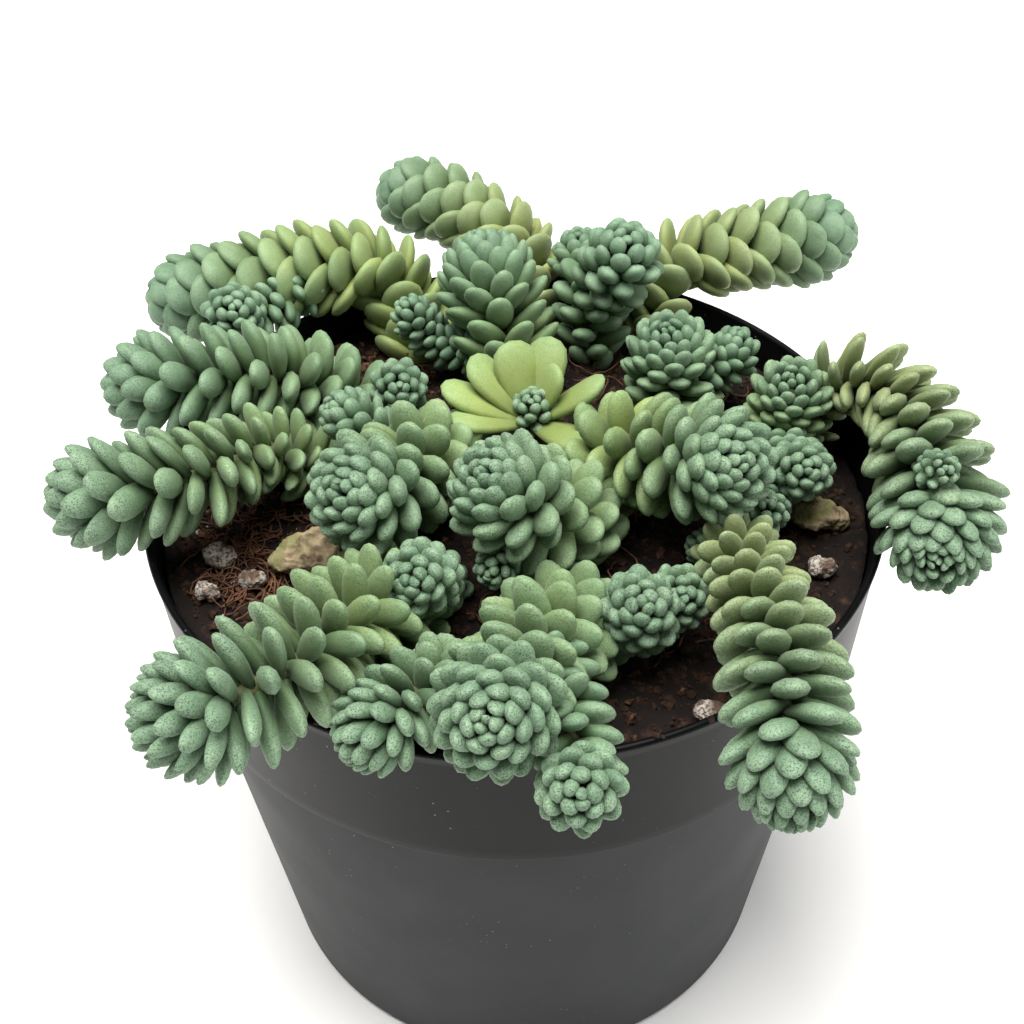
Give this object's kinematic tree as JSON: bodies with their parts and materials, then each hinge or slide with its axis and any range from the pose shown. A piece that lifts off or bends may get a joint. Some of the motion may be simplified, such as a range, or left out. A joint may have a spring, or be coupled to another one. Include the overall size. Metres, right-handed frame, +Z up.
{
  "type": "potted sedum",
  "caption": "Fleshy blue-green stonecrop with spiral-leaved stems, some upright and some trailing over the rim of a round black nursery pot of dark soil.",
  "frame": {"origin": "centre of the pot's underside, on the surface it rests on", "axes": "+Z up along the pot's axis, -Y towards a viewer of the front, +X to that viewer's right"},
  "size_m": [0.1274, 0.1323, 0.1108],
  "materials": {
    "black_plastic": "thin black moulded plastic, satin",
    "potting_soil": "dark damp peat with coir fibre, matt",
    "bark": "weathered tan bark, rough",
    "pumice": "light porous pale grey grain, rough",
    "green_leaf": "fleshy leaf with a powdery blue-green bloom, matt to satin"
  },
  "bodies": {
    "root": {"pot": "black_plastic", "soil": "potting_soil", "stem_centre_back": "green_leaf", "stem_front": "green_leaf", "stem_front_right": "green_leaf", "stem_centre": "green_leaf", "stem_centre_right": "green_leaf", "stem_centre_left": "green_leaf", "stem_front_left": "green_leaf", "stem_front_left_low": "green_leaf", "stem_left_low": "green_leaf", "stem_left": "green_leaf", "stem_left_back": "green_leaf", "stem_back_left": "green_leaf", "stem_back_right": "green_leaf", "stem_upper": "green_leaf", "stem_upper_right": "green_leaf", "stem_right_back": "green_leaf", "stem_right_inner": "green_leaf", "stem_right": "green_leaf", "stem_front_low_left": "green_leaf", "stem_front_low_right": "green_leaf", "stem_left_inner": "green_leaf", "bark_chip_left": "bark", "bark_chip_back": "bark", "bark_chip_right": "bark", "pumice_grain_1": "pumice", "pumice_grain_2": "pumice", "pumice_grain_3": "pumice", "pumice_grain_4": "pumice", "pumice_grain_5": "pumice", "pumice_grain_6": "pumice"}
  },
  "joints": []
}
